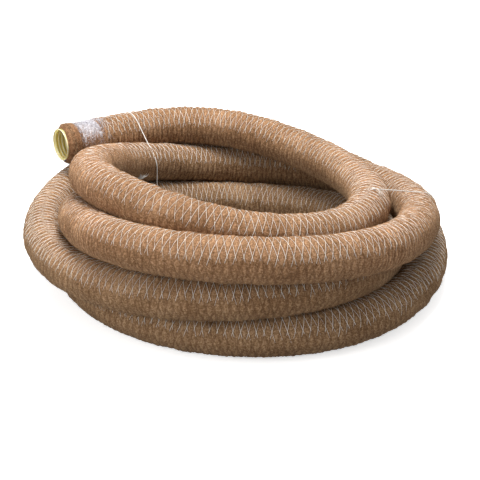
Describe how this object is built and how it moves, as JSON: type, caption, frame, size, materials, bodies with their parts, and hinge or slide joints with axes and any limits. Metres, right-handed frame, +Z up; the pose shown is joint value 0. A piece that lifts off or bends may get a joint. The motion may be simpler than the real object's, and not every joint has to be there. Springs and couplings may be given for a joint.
{
  "type": "coil of sleeved drain pipe",
  "caption": "Loosely wound coil of corrugated drain pipe in a coir filter sleeve held by a thread net, with fleece bands at its ends and thin tie strings.",
  "frame": {"origin": "on the ground under the middle of the coil's outline", "axes": "+Z up, the coil lies flat; -Y is the front, the side of the coil opposite its open upper end, which is at the back left and points to -X"},
  "size_m": [1.0116, 1.004, 0.3495],
  "materials": {
    "pipe": "semi-gloss PVC",
    "coir": "coarse fibre mat",
    "fleece": "matt fleece",
    "string": "twisted string"
  },
  "bodies": {
    "root": {"drain_pipe": "pipe", "pipe_end": "pipe", "coir_sleeve": "coir", "end_band_near": "fleece", "end_band_far": "fleece", "tie_left": "string", "tie_right": "string"}
  },
  "joints": []
}
